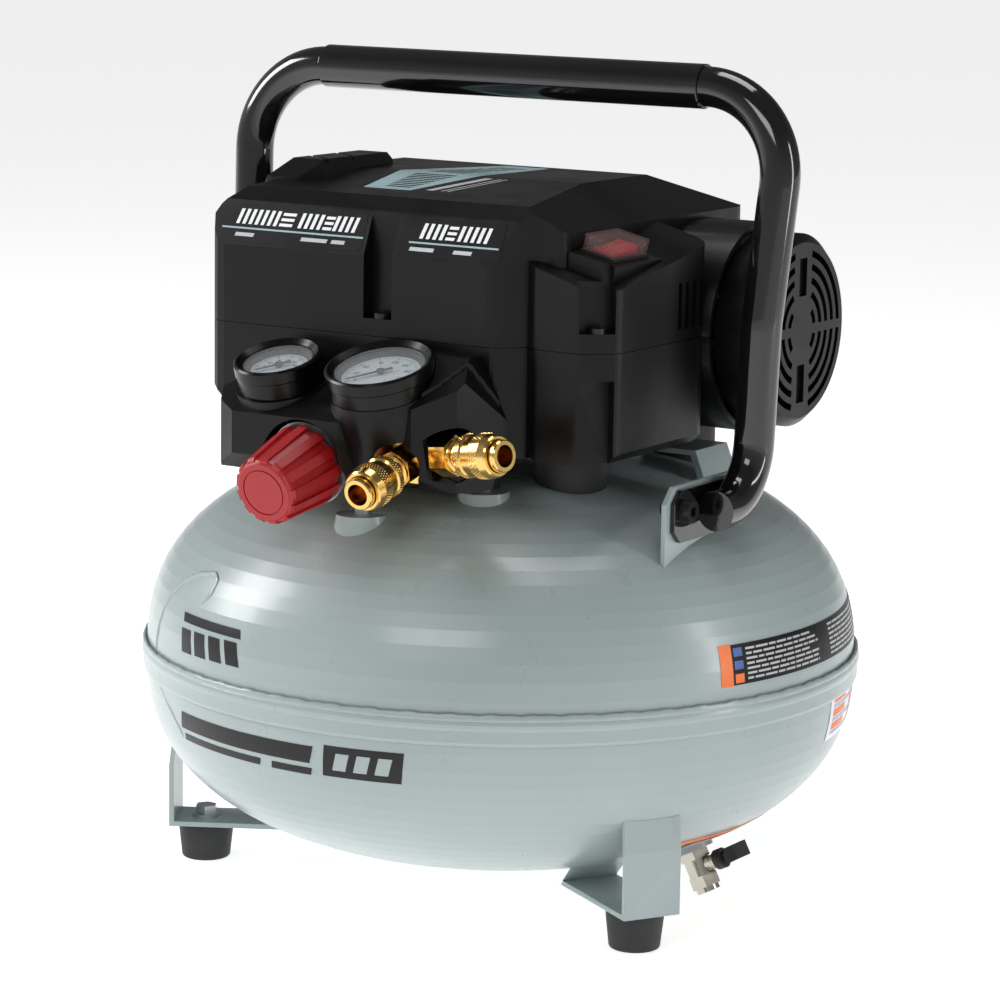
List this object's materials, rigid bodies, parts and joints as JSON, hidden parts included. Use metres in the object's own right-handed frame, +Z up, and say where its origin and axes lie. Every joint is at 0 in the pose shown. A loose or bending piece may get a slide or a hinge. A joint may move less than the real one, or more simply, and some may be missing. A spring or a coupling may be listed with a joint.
{
  "type": "pancake air compressor",
  "caption": "Portable oil-free air compressor on a flat round tank with carry handle, rubber feet, dial gauges, regulator knob, quick couplers and drain valve.",
  "frame": {"origin": "on the tank axis at floor level, under the rubber feet", "axes": "+Z up, the gauges face -Y, the fan cowl faces +X"},
  "size_m": [0.4259, 0.426, 0.4868],
  "materials": {
    "tank_paint": "semi-gloss grey-green enamel",
    "foot_rubber": "moulded, matt",
    "zinc_steel": "zinc plated",
    "handle_paint": "gloss black powder coat",
    "black_steel": "black oxide",
    "nickel": "nickel plated, slightly dull",
    "black_nylon": "smooth moulded",
    "housing_plastic": "fine texture, satin",
    "cast_alloy": "as cast",
    "motor_steel": "plain",
    "copper_pipe": "plain copper",
    "brass": "polished",
    "red_plastic": "satin moulded",
    "rocker_plastic": "gloss",
    "clear_cover": "clear soft cover",
    "regulator_metal": "plated",
    "gauge_black": "satin",
    "dial_white": "printed card",
    "needle_black": "matt black",
    "gauge_glass": "clear"
  },
  "bodies": {
    "tank_and_pump": {"tank_upper_shell": "tank_paint", "tank_lower_shell": "tank_paint", "tank_seam_weld": "tank_paint", "foot_bracket_left": "tank_paint", "foot_bracket_right": "tank_paint", "foot_bracket_rear": "tank_paint", "rubber_foot_left": "foot_rubber", "rubber_foot_right": "foot_rubber", "rubber_foot_rear": "foot_rubber", "foot_bolts": "zinc_steel", "handle_bracket_left": "tank_paint", "handle_bracket_right": "tank_paint", "handle_tube": "handle_paint", "handle_grip": "handle_paint", "handle_end_plates": "handle_paint", "handle_screws": "black_steel", "drain_boss": "tank_paint", "drain_valve_body": "nickel", "panel_weld_bosses": "tank_paint", "pump_saddle": "tank_paint", "rubber_pillars": "foot_rubber", "housing_bottom": "housing_plastic", "housing_top": "housing_plastic", "housing_screws": "black_steel", "fan_cowl": "housing_plastic", "crankcase": "cast_alloy", "motor_stator": "motor_steel", "shaft_bearings": "motor_steel", "cylinder_barrel": "cast_alloy", "cylinder_head": "cast_alloy", "discharge_pipe": "copper_pipe", "check_valve": "brass", "pressure_switch": "black_nylon", "power_switch_body": "black_nylon", "switch_cover": "clear_cover", "cord_inlet": "foot_rubber", "control_panel": "housing_plastic", "manifold": "brass", "regulator_body": "regulator_metal", "tank_gauge_case": "gauge_black", "tank_gauge_dial": "dial_white", "tank_gauge_lens": "gauge_glass", "outlet_gauge_case": "gauge_black", "outlet_gauge_dial": "dial_white", "outlet_gauge_lens": "gauge_glass", "coupler_front_body": "brass", "coupler_right_body": "brass", "relief_valve_body": "brass"},
    "knob": {"regulator_knob": "red_plastic"},
    "rocker": {"power_rocker": "rocker_plastic"},
    "drain_lever": {"drain_valve_lever": "black_nylon"},
    "needle_tank": {"tank_gauge_needle": "needle_black"},
    "needle_outlet": {"outlet_gauge_needle": "needle_black"},
    "sleeve_front": {"coupler_front_sleeve": "brass"},
    "sleeve_right": {"coupler_right_sleeve": "brass"},
    "relief_pull": {"relief_valve_ring": "zinc_steel"},
    "rotor": {"motor_rotor": "motor_steel", "cooling_fan": "black_nylon", "crank_eccentric": "motor_steel"},
    "piston": {"piston_rod": "cast_alloy"}
  },
  "joints": [
    {"name": "knob_turn", "type": "hinge", "parent": "tank_and_pump", "child": "knob", "pos_m": [-0.0275, -0.16323, 0.26471], "axis": [0, -0.9703, -0.2419], "range_deg": [-540, 540]},
    {"name": "power_rock", "type": "hinge", "parent": "tank_and_pump", "child": "rocker", "pos_m": [0.111, -0.066, 0.384], "axis": [0.9744, 0, -0.225], "range_deg": [-12.5, 0]},
    {"name": "drain_turn", "type": "hinge", "parent": "tank_and_pump", "child": "drain_lever", "pos_m": [0.13898, 0, 0.02199], "axis": [0.8829, 0, 0.4695], "range_deg": [-90, 0]},
    {"name": "tank_needle_sweep", "type": "hinge", "parent": "tank_and_pump", "child": "needle_tank", "pos_m": [-0.0575, -0.15, 0.322], "axis": [0, -0.309, 0.9511], "range_deg": [-270, 0], "stiffness_Nm_per_rad": 0.0005, "springref_deg": 17.19},
    {"name": "outlet_needle_sweep", "type": "hinge", "parent": "tank_and_pump", "child": "needle_outlet", "pos_m": [0.0115, -0.15, 0.3245], "axis": [0, -0.309, 0.9511], "range_deg": [-270, 0], "stiffness_Nm_per_rad": 0.0005, "springref_deg": 17.19},
    {"name": "front_sleeve_pull", "type": "slide", "parent": "tank_and_pump", "child": "sleeve_front", "axis": [0, 0.9703, 0.2419], "range_m": [0, 0.004], "stiffness_N_per_m": 400, "springref_m": -0.004},
    {"name": "right_sleeve_pull", "type": "slide", "parent": "tank_and_pump", "child": "sleeve_right", "axis": [-0.9743, 0.1894, -0.1219], "range_m": [0, 0.004], "stiffness_N_per_m": 400, "springref_m": -0.004},
    {"name": "relief_pull_out", "type": "slide", "parent": "tank_and_pump", "child": "relief_pull", "axis": [-1, 0, 0], "range_m": [0, 0.003], "stiffness_N_per_m": 300, "springref_m": -0.003},
    {"name": "motor_spin", "type": "hinge", "parent": "tank_and_pump", "child": "rotor", "pos_m": [0, 0.058, 0.333], "axis": [1, 0, 0], "continuous": true},
    {"name": "piston_stroke", "type": "slide", "parent": "tank_and_pump", "child": "piston", "axis": [0, 0, 1], "range_m": [-0.014, 0]}
  ]
}
